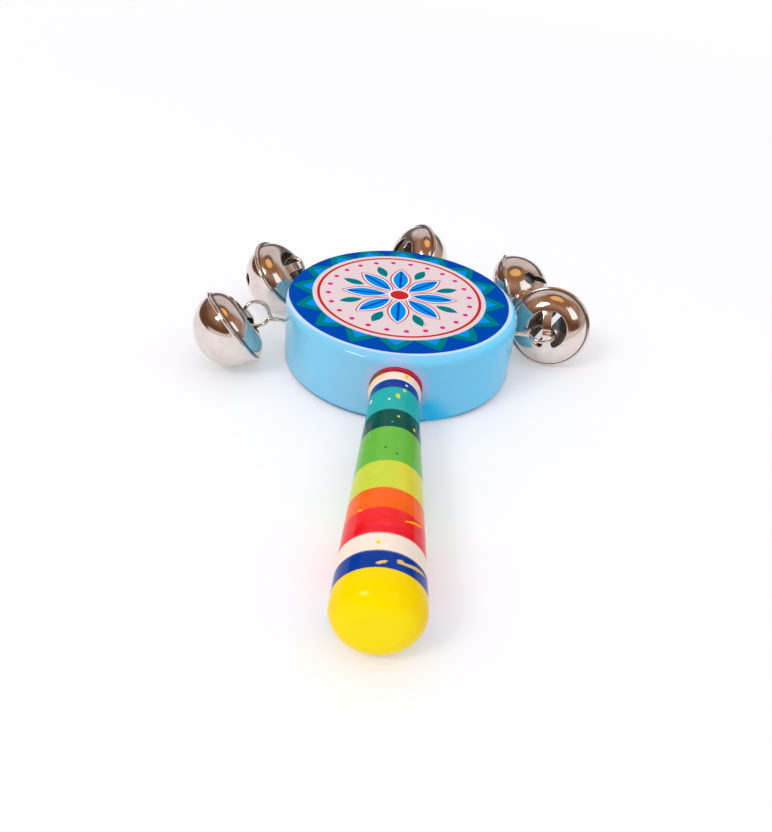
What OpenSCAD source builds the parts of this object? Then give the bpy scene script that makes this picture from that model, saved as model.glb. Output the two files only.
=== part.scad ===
// Jingle bell rattle: a turned disc on a tapered handle, with five jingle bells on screw eyes.
// Lengths in mm. Origin: centre of the disc's flat underside, which lies on the table.
// -Y runs along the handle, +Z points up through the printed face. Scaling every length scales the part.

/* [Head] */

// Diameter of the turned disc
head_d = 70; // [50:0.5:90]
// Thickness of the disc
head_h = 21; // [14:0.5:30]
// Radius that softens both rims of the disc
head_edge_r = 2; // [0.5:0.1:5]

/* [Handle] */

// Length of handle that shows outside the disc
handle_len = 85.5; // [50:0.5:120]
// Diameter where the handle enters the disc
handle_neck_d = 13.3; // [9:0.1:18]
// Diameter at the thick end
handle_end_d = 20.8; // [12:0.1:28]
// Radius that rounds the thick end
handle_round_r = 6; // [1:0.1:9]
// Depth of the plug that is glued into the disc
plug_len = 18; // [8:0.5:25]
// Glue gap around the plug
glue_gap = 0.05; // [0.02:0.01:0.3]
// Bevel at the mouth of the handle's bore
mouth_bevel = 0.7; // [0.2:0.1:2]
// Flare of the painted neck, which fills the bevel
neck_flare = 0.85; // [0.3:0.05:2]
// Length of the flare in front of the bevel
flare_len = 2.4; // [1:0.1:6]

/* [Screw eyes] */

// Diameter of the steel wire
wire_d = 1.1; // [0.6:0.05:2]
// Diameter of the ring, measured at the middle of the wire
ring_d = 7.5; // [5:0.1:12]
// Straight wire that shows between the disc and the ring
eye_neck = 5.15; // [2:0.05:10]
// Height of the eyes above the underside
eye_height = 12.25; // [5:0.05:20]
// Distance between neighbouring eyes, along the circle on which their rings end
eye_spacing = 37.42431; // [20:0.00001:60]
// Length of the thread in the wood
thread_len = 8; // [4:0.5:14]
// Outside diameter of the thread
thread_d = 1.5; // [0.8:0.05:3]
// Depth of the thread
thread_depth = 0.28; // [0.1:0.01:0.6]
// Gap between a screw eye and its pilot hole
pilot_gap = 0.03; // [0.01:0.01:0.2]

/* [Bells] */

// Outside diameter of a bell over its rolled seam
bell_d = 25.3; // [15:0.1:40]
// Outside diameter of the round bowl
bowl_d = 23.8; // [14:0.1:38]
// Thickness of the pressed sheet
sheet_t = 0.5; // [0.3:0.05:1]
// Thickness of the rolled seam
seam_t = 1.2; // [0.8:0.05:2.5]
// Height of the crown above the seam
crown_h = 5.18; // [3:0.01:9]
// Diameter of the round hole in the crown
crown_hole_d = 12; // [8:0.1:16]
// Height of the strap's middle above the seam, at the middle of the sheet
strap_h = 6.3; // [4:0.05:10]
// Width of the strap
strap_w = 2.6; // [1.5:0.1:5]
// Width of the slot in the bowl
slot_w = 1.7; // [0.8:0.1:3]
// Diameter of the round holes that end the slot
slot_hole_d = 4; // [2:0.1:5]
// Clearance inside the rolled seam
seam_gap = 0.02; // [0.01:0.01:0.2]

/* [Pellets] */

// Diameter of the loose ball in a bell
pellet_d = 6; // [4:0.1:8]
// Clearance between a resting ball and the bowl
pellet_gap = 0.05; // [0.02:0.01:0.3]

/* [Hidden] */

$fn = 72;

// Head and handle
head_r = head_d / 2;
neck_r = handle_neck_d / 2;
end_r = handle_end_d / 2;
plug_r = neck_r - glue_gap;
handle_z = head_h / 2;
function taper_r(s) = plug_r + (end_r - plug_r) * s / (handle_len - handle_round_r);

// Screw eyes, in the order: right front, right back, back, left back, left front.
// They stand about one spacing apart round the back of the rim. Each one is off its place by a little, as the photo
// shows, and the shares say how many spacings it lies from the middle of the back.
eye_place_share = [-87 / 45, -45 / 45, 3 / 45, 55 / 45, 98 / 45];
ring_end_r = head_r + eye_neck + ring_d;
eye_azimuth = [for (s = eye_place_share) 90 + s * eye_spacing / ring_end_r * 180 / PI];
eye_pitch = [4, -8, 8, 16, 14];
eye_twist = [-79, 48, 86, 10, 15];
neck_share = [1.04, 0.94, 0.96, 1.08, 1.00];
wire_r = wire_d / 2;
ring_r = ring_d / 2;
function reach(i) = eye_neck * neck_share[i] + ring_r;

// Bells. A strap's middle lies off the ring's centre by these shares of the ring's radius, along the shank,
// along the ring's axis and across both. Then the bell is turned by these angles.
strap_share = [[0.39, -0.24, 0.2], [0.17, -0.25, -0.29], [0.4, 0.23, 0.02], [-0.18, 0.16, 0.43], [0.51, 0.63, -0.01]];
bell_turn = [[148, 14, -10], [-169, 33, 6], [155, -25, 165], [9, -27, 7], [-24, 33, 146]];
slot_turn = [50, 20, 75, 60, 10];
seam_r = bell_d / 2;
bowl_r = bowl_d / 2;
bowl_in_r = bowl_r - sheet_t;
hole_r = crown_hole_d / 2;
roll_r = seam_t / 2;
plate_t = seam_t * 0.28;
plate_r = seam_r - seam_t * 0.36;
slot_latitude = 38;

// Section of the crown: an arc whose centre lies off the bell's axis
crown_arc_r = bowl_r * 0.545;
crown_arc_x = bowl_r * 0.4695;
crown_arc_z = crown_h - crown_arc_r;

// Section of the strap: an arc that springs from the crown's top
strap_rise = strap_h - (crown_h - sheet_t / 2);
strap_arc_r = (pow(hole_r, 2) + pow(strap_rise, 2)) / (2 * strap_rise);
strap_foot = hole_r * 1.1;

// Where each pellet rests: the lowest point of its own bell, found from the bell's direction
pellet_r = pellet_d / 2;
pellet_reach = bowl_in_r - pellet_r - pellet_gap;
function turn_x(a) = [[1, 0, 0], [0, cos(a), -sin(a)], [0, sin(a), cos(a)]];
function turn_y(a) = [[cos(a), 0, sin(a)], [0, 1, 0], [-sin(a), 0, cos(a)]];
function turn_z(a) = [[cos(a), -sin(a), 0], [sin(a), cos(a), 0], [0, 0, 1]];
function turn_xyz(t) = turn_z(t[2]) * turn_y(t[1]) * turn_x(t[0]);
function bell_axes(i) = turn_z(eye_azimuth[i]) * turn_y(-eye_pitch[i]) * turn_x(eye_twist[i]) * turn_xyz(bell_turn[i]);
function down_in_bell(i) = -bell_axes(i)[2];
function low_way(d) = [d[0], d[1], min(d[2], 0)] / norm([d[0], d[1], min(d[2], 0)]);
function low_share(d) = d[2] > -0.1 ? 0.94 : 1;
function pellet_at(i) = pellet_reach * low_share(down_in_bell(i)) * low_way(down_in_bell(i));

// Frame of one screw eye: +X out along its shank from the rim, +Y along the ring's axis
module at_eye(i) {
    rotate([0, 0, eye_azimuth[i]]) translate([head_r, 0, eye_height])
        rotate([0, -eye_pitch[i], 0]) rotate([eye_twist[i], 0, 0]) children();
}

// Frame of one bell: origin in the middle of the seam, +Z towards the strap, which runs along Y
module at_bell(i) {
    at_eye(i) translate([reach(i), 0, 0] + ring_r * strap_share[i])
        rotate(bell_turn[i]) translate([0, 0, -strap_h]) children();
}

// Head: a disc with softened rims, a blind bore for the handle and a pilot hole for each eye
module head() {
    color([0.51, 0.78, 0.92]) difference() {
        rotate_extrude() {
            square([head_r - head_edge_r, head_h]);
            translate([0, head_edge_r]) square([head_r, head_h - 2 * head_edge_r]);
            for (z = [head_edge_r, head_h - head_edge_r])
                translate([head_r - head_edge_r, z]) circle(head_edge_r);
        }
        translate([0, -head_r - mouth_bevel, handle_z]) rotate([-90, 0, 0]) {
            cylinder(r = neck_r, h = plug_len + mouth_bevel + glue_gap);
            cylinder(r1 = neck_r + 2 * mouth_bevel, r2 = neck_r, h = 2 * mouth_bevel);
        }
        for (i = [0:4]) at_eye(i) rotate([0, -90, 0])
            translate([0, 0, -wire_d]) cylinder(d = thread_d + 2 * pilot_gap, h = thread_len + wire_d + pilot_gap);
    }
}

// Handle: a taper with a rounded end, and a straight plug that goes into the head
module handle() {
    color([0.98, 0.85, 0.05]) translate([0, -head_r, handle_z]) rotate([90, 0, 0]) rotate_extrude() {
        translate([0, -plug_len]) square([plug_r, plug_len]);
        polygon([[0, glue_gap - mouth_bevel], [plug_r, glue_gap - mouth_bevel],
                 [plug_r + neck_flare, glue_gap + neck_flare - mouth_bevel],
                 [taper_r(mouth_bevel + flare_len), mouth_bevel + flare_len],
                 [end_r, handle_len - handle_round_r], [0, handle_len - handle_round_r]]);
        square([end_r - handle_round_r, handle_len]);
        intersection() {
            translate([end_r - handle_round_r, handle_len - handle_round_r]) circle(handle_round_r);
            translate([0, handle_len - handle_round_r]) square([end_r, handle_round_r]);
        }
    }
}

// Screw eye: an almost closed ring, a straight neck and a threaded shank in the wood
module screw_eye(i) {
    pitch = thread_len / 8;
    core_r = thread_d / 2 - thread_depth;
    color([0.8, 0.79, 0.76]) at_eye(i) {
        translate([reach(i), 0, 0]) rotate([90, 0, 0]) rotate([0, 0, -180]) {
            rotate_extrude(angle = 344) translate([ring_r, 0]) circle(wire_r, $fn = 36);
            translate([ring_r, 0, 0]) sphere(wire_r, $fn = 36);
        }
        rotate([0, 90, 0]) cylinder(r = wire_r, h = reach(i) - ring_r, $fn = 36);
        rotate([0, -90, 0]) {
            cylinder(r = core_r, h = thread_len - pitch, $fn = 36);
            for (k = [0:6]) translate([0, 0, k * pitch]) {
                cylinder(r1 = core_r, r2 = thread_d / 2, h = pitch / 2, $fn = 36);
                translate([0, 0, pitch / 2])
                    cylinder(r1 = thread_d / 2, r2 = core_r, h = pitch / 2, $fn = 36);
            }
            translate([0, 0, thread_len - pitch]) cylinder(r1 = core_r, r2 = 0, h = pitch, $fn = 36);
        }
    }
}

// Crown: the shallow half, with the strap across its hole and the seam rolled round the bowl's edge
module bell_crown(i) {
    color([0.82, 0.79, 0.74]) at_bell(i) {
        rotate_extrude() {
            intersection() {
                translate([crown_arc_x, crown_arc_z]) difference() {
                    circle(crown_arc_r);
                    circle(crown_arc_r - sheet_t);
                }
                translate([hole_r, plate_t / 2]) square([bowl_r, crown_h]);
            }
            translate([bowl_in_r + sheet_t / 4, plate_t / 2]) square([plate_r - bowl_in_r - sheet_t / 4, roll_r - plate_t / 2]);
            intersection() {
                difference() {
                    translate([seam_r - roll_r, 0]) circle(roll_r);
                    translate([0, -plate_t / 2 - seam_gap]) square([plate_r + seam_gap, plate_t + seam_gap]);
                }
                translate([bowl_r + seam_gap, -roll_r]) square([seam_r, seam_t]);
            }
        }
        intersection() {
            translate([0, 0, strap_h - strap_arc_r]) rotate([0, 90, 0]) difference() {
                cylinder(r = strap_arc_r + sheet_t / 2, h = strap_w, center = true);
                cylinder(r = strap_arc_r - sheet_t / 2, h = 2 * strap_w, center = true);
            }
            translate([-strap_w / 2, -strap_foot, crown_h - sheet_t * 1.6])
                cube([strap_w, 2 * strap_foot, strap_h]);
        }
    }
}

// Bowl: the round half, with one slot that ends in two round holes
module bell_bowl(i) {
    slot_x = bowl_r * cos(slot_latitude);
    slot_z = bowl_r * sin(slot_latitude);
    color([0.82, 0.79, 0.74]) at_bell(i) difference() {
        rotate_extrude() {
            intersection() {
                difference() {
                    circle(bowl_r);
                    circle(bowl_in_r);
                }
                translate([0, -bowl_r]) square([bowl_r, bowl_r + plate_t / 2 - seam_gap]);
            }
            translate([bowl_in_r + sheet_t / 4, -plate_t / 2])
                square([plate_r - bowl_in_r - sheet_t / 4, plate_t - seam_gap]);
        }
        rotate([0, 0, slot_turn[i]]) {
            translate([-slot_x, -slot_w / 2, -bowl_d]) cube([2 * slot_x, slot_w, bowl_d - slot_z * 0.9]);
            for (s = [-1, 1]) rotate([0, s * (90 + slot_latitude), 0]) cylinder(d = slot_hole_d, h = bowl_d);
        }
    }
}

// Pellet: a loose ball at the lowest place in its bell
module pellet(i) {
    color([0.55, 0.55, 0.56]) at_bell(i) translate(pellet_at(i)) sphere(pellet_r);
}

head();
handle();
screw_eye(0);  // screw_eye_1
screw_eye(1);  // screw_eye_2
screw_eye(2);  // screw_eye_3
screw_eye(3);  // screw_eye_4
screw_eye(4);  // screw_eye_5
bell_crown(0);  // bell_crown_1
bell_crown(1);  // bell_crown_2
bell_crown(2);  // bell_crown_3
bell_crown(3);  // bell_crown_4
bell_crown(4);  // bell_crown_5
bell_bowl(0);  // bell_bowl_1
bell_bowl(1);  // bell_bowl_2
bell_bowl(2);  // bell_bowl_3
bell_bowl(3);  // bell_bowl_4
bell_bowl(4);  // bell_bowl_5
pellet(0);  // pellet_1
pellet(1);  // pellet_2
pellet(2);  // pellet_3
pellet(3);  // pellet_4
pellet(4);  // pellet_5
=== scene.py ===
# %% [markdown]
# A wooden jingle bell rattle, finished piece by piece.
# The real rattle is a turned disc of wood on a tapered handle. Five screw eyes stand in the disc's rim,
# and on each of them hangs a bell of pressed, nickel-plated sheet with a loose steel ball inside. The
# packed model already says where every piece is and how large it is. This lesson gives each piece the
# surface that the hand and eye meet. The frame is loaded first, and its box is kept, so that the
# finished rattle can be measured against it at the end.

# %% Load the packed model as a fixed frame
import math

import bmesh
import bpy
from mathutils import Matrix, Vector


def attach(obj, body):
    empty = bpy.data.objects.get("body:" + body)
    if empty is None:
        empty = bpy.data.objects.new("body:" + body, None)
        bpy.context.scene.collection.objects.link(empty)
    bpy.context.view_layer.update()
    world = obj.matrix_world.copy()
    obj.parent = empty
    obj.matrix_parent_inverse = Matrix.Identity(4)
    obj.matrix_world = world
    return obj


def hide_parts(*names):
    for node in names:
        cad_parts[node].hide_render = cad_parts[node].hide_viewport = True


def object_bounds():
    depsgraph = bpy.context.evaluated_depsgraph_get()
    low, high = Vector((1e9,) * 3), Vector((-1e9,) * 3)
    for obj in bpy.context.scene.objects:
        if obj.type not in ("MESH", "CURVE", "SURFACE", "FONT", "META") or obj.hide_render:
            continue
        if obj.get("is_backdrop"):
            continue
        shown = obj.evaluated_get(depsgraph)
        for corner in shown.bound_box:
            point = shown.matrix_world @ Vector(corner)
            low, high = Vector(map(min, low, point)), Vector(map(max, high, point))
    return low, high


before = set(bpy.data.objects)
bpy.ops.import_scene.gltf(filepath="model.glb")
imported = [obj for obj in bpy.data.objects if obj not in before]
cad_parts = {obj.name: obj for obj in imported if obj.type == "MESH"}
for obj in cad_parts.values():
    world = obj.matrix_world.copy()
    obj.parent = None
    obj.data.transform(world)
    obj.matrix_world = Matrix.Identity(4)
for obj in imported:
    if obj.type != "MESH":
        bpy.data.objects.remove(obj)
cad_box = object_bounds()
print("The packed model spans", [[round(1000 * c, 2) for c in corner] for corner in cad_box], "mm")

# %% [markdown]
# The camera stands in front of the handle's end and looks down on the rattle, rolled a little, as a
# hand-held camera is. A camera could be aimed with a constraint, but three plain turns are easier to
# read: one about the upright, one that tips it down, and one about its own line of sight. The focal
# length follows from the picture: it is the lens that shows 832 pixels on the 36 mm side of the sensor
# at the distance found in the photograph.

# %% Camera
MM = 0.001
PICTURE_HEIGHT = 832
FOCAL_PIXELS = 891.6
SENSOR = 36.0
CAMERA_AT = Vector((-4.55, -239.34, 148.82)) * MM
CAMERA_TURN = math.radians(-0.804)
CAMERA_ELEVATION = math.radians(35.607)
CAMERA_ROLL = math.radians(6.289)

camera = bpy.data.objects.new("camera", bpy.data.cameras.new("camera"))
camera.data.sensor_width = SENSOR
camera.data.lens = FOCAL_PIXELS / PICTURE_HEIGHT * SENSOR
camera.data.clip_start = 0.01
camera.matrix_world = (
    Matrix.Translation(CAMERA_AT)
    @ Matrix.Rotation(CAMERA_TURN, 4, "Z")
    @ Matrix.Rotation(math.pi / 2 - CAMERA_ELEVATION, 4, "X")
    @ Matrix.Rotation(CAMERA_ROLL, 4, "Z")
)
bpy.context.scene.collection.objects.link(camera)
bpy.context.scene.camera = camera
bpy.context.scene.view_settings.view_transform = "Standard"
print("The lens is", round(camera.data.lens, 2), "mm")

# %% [markdown]
# Every size from here on is in millimetres, as a turner or a bell maker would write it, and is named
# where it is first needed. The numbers are those of the packed model. Only the function that makes a
# finished mesh turns them into metres. Each eye and each bell has a frame of its own, which is easier
# to think in than the whole rattle's. An eye's frame stands on the rim with X out along its shank, and
# a bell's frame sits in the middle of its seam with Z towards the strap. The turns are put together in
# the same order as in the packed model, so the pieces land where it says.

# %% Frames of the eyes and the bells
HEAD_R = 35.0
EYE_HEIGHT = 12.25
EYE_NECK = 5.15
RING_R = 3.75
STRAP_H = 6.3
# Five eyes with a bell each, in the order right front, right back, back, left back, left front. Their
# angles are in degrees
BELLS = range(5)
EYE_AZIMUTH = (3, 45, 93, 145, 188)
EYE_PITCH = (4, -8, 8, 16, 14)
EYE_TWIST = (-79, 48, 86, 10, 15)
NECK_SHARE = (1.04, 0.94, 0.96, 1.08, 1.00)
# How far each strap lies off its ring's middle, in radii of the ring, and how its bell is turned about
# X, Y and Z
STRAP_SHARE = (
    (0.39, -0.24, 0.2), (0.17, -0.25, -0.29), (0.4, 0.23, 0.02), (-0.18, 0.16, 0.43), (0.51, 0.63, -0.01),
)
BELL_TURN = ((148, 14, -10), (-169, 33, 6), (155, -25, 165), (9, -27, 7), (-24, 33, 146))


def turned(degrees, axis):
    """A turn about one axis."""
    return Matrix.Rotation(math.radians(degrees), 4, axis)


def eye_reach(i):
    """How far the ring's centre stands from the rim."""
    return EYE_NECK * NECK_SHARE[i] + RING_R


def eye_frame(i):
    """Where an eye stands in the rim, with X out along its shank."""
    stand = turned(EYE_AZIMUTH[i], "Z") @ Matrix.Translation((HEAD_R, 0, EYE_HEIGHT))
    return stand @ turned(-EYE_PITCH[i], "Y") @ turned(EYE_TWIST[i], "X")


def bell_frame(i):
    """Where a bell hangs by its strap, with the middle of its seam as the origin."""
    strap_at = Vector((eye_reach(i), 0, 0)) + RING_R * Vector(STRAP_SHARE[i])
    x, y, z = BELL_TURN[i]
    turn = turned(z, "Z") @ turned(y, "Y") @ turned(x, "X")
    return eye_frame(i) @ Matrix.Translation(strap_at) @ turn @ Matrix.Translation((0, 0, -STRAP_H))


for i in BELLS:
    print("bell", i + 1, "has its seam's middle at", [round(c, 2) for c in bell_frame(i).translation])

# %% [markdown]
# Most of the pieces are round, so one helper turns an outline round Z, as a lathe or a spinning press
# does. A Screw modifier would do it too. Making the points directly keeps the poles closed and the
# faces outward, and the number of steps follows the size of the piece. A second helper gives the points
# of an arc, and a third those of a bend, a quadratic curve that eases one line into another.

# %% Outlines, and turning them round
def arc(centre, radius, start, end, steps):
    """Points on an arc round centre, with the angles in degrees."""
    angles = [math.radians(start + (end - start) * k / steps) for k in range(steps + 1)]
    return [(centre[0] + radius * math.cos(a), centre[1] + radius * math.sin(a)) for a in angles]


def bend(start, corner, end, steps):
    """Points on the quadratic curve that eases start into end round a corner."""
    points = []
    for t in [k / steps for k in range(steps + 1)]:
        near, middle, far = (1 - t) ** 2, 2 * t * (1 - t), t * t
        points.append(tuple(near * a + middle * b + far * c for a, b, c in zip(start, corner, end)))
    return points


def lathe(outline, steps):
    """Points and faces of an outline of (radius, height) turned round Z. A radius of 0 makes a pole."""
    points, rings = [], []
    for radius, height in outline:
        count = steps if radius > 0 else 1
        rings.append(range(len(points), len(points) + count))
        for k in range(count):
            a = 2 * math.pi * k / steps
            points.append((radius * math.cos(a), radius * math.sin(a), height))
    faces = []
    for low, high in zip(rings, rings[1:]):
        for k in range(steps):
            n = (k + 1) % steps
            corners = (low[k % len(low)], low[n % len(low)], high[n % len(high)], high[k % len(high)])
            faces.append(list(dict.fromkeys(corners)))
    return points, faces


print("A cone of 12 steps has", len(lathe([(0, 1), (1, 0)], 12)[1]), "faces")

# %% [markdown]
# Points and faces become a mesh, whose modifiers are applied where it has any. A finished piece is then hung
# on an empty for the body that it rides on and given its material, and the packed node that it stands in for
# is hidden.

# %% Meshes and finished pieces
def new_mesh(name, points, faces, sharp=50):
    """A smooth mesh of points in mm, whose edges stay sharp past an angle in degrees."""
    mesh = bpy.data.meshes.new(name)
    mesh.from_pydata(points, [], faces)
    mesh.shade_smooth()
    mesh.set_sharp_from_angle(angle=math.radians(sharp))
    return mesh


def new_object(name, mesh):
    """An object in the scene that holds the mesh."""
    made = bpy.data.objects.new(name, mesh)
    bpy.context.scene.collection.objects.link(made)
    return made


def applied(made):
    """The plain mesh that an object's modifiers give. The object itself is removed."""
    mesh = bpy.data.meshes.new_from_object(made.evaluated_get(bpy.context.evaluated_depsgraph_get()))
    bpy.data.objects.remove(made)
    return mesh


def finished(name, mesh, place, material, body, node):
    """A finished piece: its mesh is set in its place in metres, and it rides where its CAD node does."""
    mesh = mesh.copy()
    mesh.transform(Matrix.Scale(MM, 4) @ place)
    mesh.materials.clear()
    mesh.materials.append(material)
    made = new_object(name, mesh)
    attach(made, body)
    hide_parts(node)
    print(name, "has", len(mesh.polygons), "faces and rides on", body)


print("In a finished mesh, the disc's radius of", HEAD_R, "mm is", HEAD_R * MM, "m")

# %% [markdown]
# A material is a sum written in nodes, and a sum is easiest to read as a sum. This small class holds
# one socket of a node tree. Python's own operators on it add Math nodes, so 1 - mask or x * x + y * y
# can be written as such. Every other node comes from one method: its kind, its settings, and the values
# or wires of its sockets. The same class serves the geometry nodes further down.

# %% Node sums as Python sums
class Wire:
    """One socket of a node tree, on which Python's operators add nodes."""

    def __init__(self, socket):
        self.socket = socket

    def node(self, kind, settings=None, sockets=None, out=0):
        """A wire from one output of a new node. A ramp's stops are pairs of a place and a colour."""
        made = self.socket.id_data.nodes.new(kind)
        for name, value in (settings or {}).items():
            if name == "stops":
                elements = made.color_ramp.elements
                while len(elements) < len(value):
                    elements.new(1.0)
                for element, (place, colour) in zip(elements, value):
                    element.position, element.color = place, colour
            else:
                setattr(made, name, value)
        for name, value in (sockets or {}).items():
            if isinstance(value, Wire):
                self.socket.id_data.links.new(value.socket, made.inputs[name])
            else:
                made.inputs[name].default_value = value
        return Wire(made.outputs[out])

    def math(self, operation, *others):
        """A Math node on this wire and the others."""
        return self.node("ShaderNodeMath", {"operation": operation}, dict(enumerate((self, *others))))

    def __add__(self, other):
        return self.math("ADD", other)

    def __sub__(self, other):
        return self.math("SUBTRACT", other)

    def __rsub__(self, other):
        return self.node("ShaderNodeMath", {"operation": "SUBTRACT"}, {0: other, 1: self})

    def __mul__(self, other):
        return self.math("MULTIPLY", other)

    def __truediv__(self, other):
        return self.math("DIVIDE", other)

    __radd__ = __add__
    __rmul__ = __mul__

    def split(self):
        """The X, Y and Z of a vector."""
        parts = self.node("ShaderNodeSeparateXYZ", {}, {0: self}).socket.node
        return [Wire(part) for part in parts.outputs]

    def step(self, edge, width):
        """0 below the edge and 1 above it, over a soft width."""
        ease = {"interpolation_type": "SMOOTHSTEP"}
        return self.node("ShaderNodeMapRange", ease, {0: self, 1: edge - width / 2, 2: edge + width / 2})

    def mix(self, first, second):
        """The first colour where this wire is 0, and the second where it is 1."""
        return self.node("ShaderNodeMix", {"data_type": "RGBA"}, {0: self, 6: first, 7: second}, out=2)

    def noise(self, scale, detail=2.0):
        """Soft noise from 0 to 1 on this vector, with a patch every 1 / scale of its units."""
        return self.node("ShaderNodeTexNoise", {}, {"Vector": self, "Scale": scale, "Detail": detail})


print("A wire can", ", ".join(name for name in vars(Wire) if not name.startswith("_")))

# %% [markdown]
# Three helpers make a material. One turns a colour picked on a screen into a shader's light. One starts
# a material with the inputs that stay the same all over, and gives the place on the piece. The last
# feeds those that vary.

# %% Colours and materials
def rgb(red, green, blue):
    """A colour given as a screen shows it, from 0 to 255, in the linear light that a shader works in."""
    def linear(c):
        # The standard curve of a screen: a straight line up to a value of 10, and a power above it
        return c / (255 * 12.92) if c < 11 else ((c / 255 + 0.055) / 1.055) ** 2.4

    return (linear(red), linear(green), linear(blue), 1.0)


def new_finish(name, **fixed):
    """A material, the inputs of its shader, and a wire with the place on the piece in millimetres."""
    material = bpy.data.materials.new(name)
    material.use_nodes = True
    shader = material.node_tree.nodes["Principled BSDF"]
    for label, value in fixed.items():
        shader.inputs[label.replace("_", " ")].default_value = value
    place = Wire(material.node_tree.nodes.new("ShaderNodeTexCoord").outputs["Object"])
    millimetres = place.node("ShaderNodeVectorMath", {"operation": "SCALE"}, {0: place, "Scale": 1 / MM})
    return material, shader.inputs, millimetres


def feed(inputs, **wires):
    """Links wires to a shader's inputs. Bump is a height wire, its strength and its depth in mm."""
    for label, wire in wires.items():
        if label == "Bump":
            height, strength, depth = wire
            sockets = {"Height": height, "Strength": strength, "Distance": depth * MM}
            label, wire = "Normal", height.node("ShaderNodeBump", {}, sockets)
        wire.socket.id_data.links.new(wire.socket, inputs[label.replace("_", " ")])


print("A screen's middle grey is", round(rgb(128, 128, 128)[0], 3), "in a shader's light")

# %% [markdown]
# The paints are a toy maker's bright enamels. They are named once here, as a screen shows them, because
# the disc and the handle share several of them.

# %% Colours of the paints
WHITE = rgb(238, 240, 245)
CREAM = rgb(246, 228, 206)
PINK = rgb(229, 208, 206)
PEACH = rgb(250, 214, 164)
SAND = rgb(230, 190, 112)
BARE_WOOD = rgb(214, 176, 96)
GOLD = rgb(250, 176, 24)
YELLOW = rgb(252, 214, 2)
YELLOW_LIT_END = rgb(255, 230, 4)
LEMON = rgb(222, 214, 60)
LIME = rgb(201, 214, 62)
GREEN = rgb(106, 184, 62)
FOREST = rgb(2, 80, 68)
TEAL = rgb(0, 122, 128)
SEA = rgb(30, 172, 164)
SKY = rgb(138, 200, 228)
SKY_DEEP_AND_LIT = rgb(106, 211, 250)
SKY_HANDLE_SHADE = rgb(0, 200, 252)
SKY_SHADED_FOOT = rgb(0, 118, 168)
RIM_HIGHLIGHT = rgb(206, 226, 247)
LAVENDER_REFLECTION = rgb(176, 190, 226)
BRIGHT = rgb(6, 143, 226)
ROYAL = rgb(2, 72, 168)
NAVY = rgb(2, 56, 146)
ORANGE = rgb(250, 98, 6)
SCARLET = rgb(240, 30, 32)
CRIMSON = rgb(234, 10, 34)
RED = rgb(200, 42, 42)
MAGENTA = rgb(214, 40, 128)
WINE = rgb(196, 16, 60)
BROWN_SHADE = rgb(132, 84, 84)
print("Yellow returns", round(YELLOW[0], 2), "of red light and", round(YELLOW[2], 4), "of blue")

# %% [markdown]
# A print covers the disc's upper face in a circle that lies a little off the middle, so the blue shows
# as a crescent in front. The design here is a plain border of triangles round eight petals, the kind of
# ornament that spinning tops and tin plates carry. It is worked out from the distance and the angle
# round the print's middle, so its lines stay sharp at any size. An image could hold it too, but a rule
# needs no picture file and repeats exactly.

# %% Sizes of the print
HEAD_H = 21.0
PRINT_CENTRE = (-1.1, 2.7)
PRINT_R = 33.5
PRINT_LOW = HEAD_H - 1.2
INK_EDGE = 0.14
BORDER_IN = 26.4
BORDER_OUT = 32.6
BORDER_POINTS = 16
# How many times smaller the bright points are, and both kinds' soft edges as shares of their height
SMALL_POINTS = 1.9
POINT_EDGE = 0.03
SMALL_POINT_EDGE = 0.05
RING_AT = 24.6
RING_W = 0.9
DOT_RING = 21.6
DOT_R = 0.8
DOTS = 24
PETALS = 8
# Each leaf is its middle's distance from the print's middle, half its length and half its width
PETAL = (10.2, 7.6, 3.3)
LEAF = (15.6, 3.6, 1.5)
# How deep in a petal its white line, its blue and its vein begin, and half the vein's width
WHITE_IN = 0.45
BLUE_IN = 1.0
VEIN_IN = 1.5
VEIN_HALF_W = 0.4
BUTTON_R = 3.4
BUTTON_RIM = 0.6
# One chip shows the wood: its place, half its length, the square of length over width, and its edge
CHIP_AT = (6.8, -13.6)
CHIP_HALF = 0.75
CHIP_NARROW = 5.0
CHIP_EDGE = 0.3


def from_spoke(angle, count, turn=0.0):
    """The angle off the nearest of count spokes, as a share from -1 to 1 of the way to the next gap."""
    turns = angle * (count / (2 * math.pi)) + turn
    return (turns - turns.math("ROUND")) * 2.0


def leaf_depth(distance, share, count, size):
    """How far inside a pointed leaf on a spoke a point lies, in mm, and how far it is off the spoke."""
    middle, half_length, half_width = size
    angle = share * (math.pi / count)
    along = (distance * angle.math("COSINE") - middle) / half_length
    aside = (distance * angle.math("SINE")).math("ABSOLUTE")
    return (1 - along * along) * half_width - aside, aside


print("The print is", 2 * PRINT_R, "mm across, on a disc of", 2 * HEAD_R, "mm")

# %% [markdown]
# The inks go on one over another: petals and leaves, the button in the middle, dots, the ring and the
# border. For each, a mask turns from 0 to 1 where the ink begins, and mixes its colour in. The chip
# comes last, because it goes through them all.

# %% Rosette and border in ink
blue_lacquer, inputs, place = new_finish("blue_lacquer", Coat_Roughness=0.06, Specular_IOR_Level=0.0)
x, y, z = place.split()
px, py = x - PRINT_CENTRE[0], y - PRINT_CENTRE[1]
off_print = (px * px + py * py).math("SQRT")
angle = py.math("ARCTAN2", px)

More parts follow.
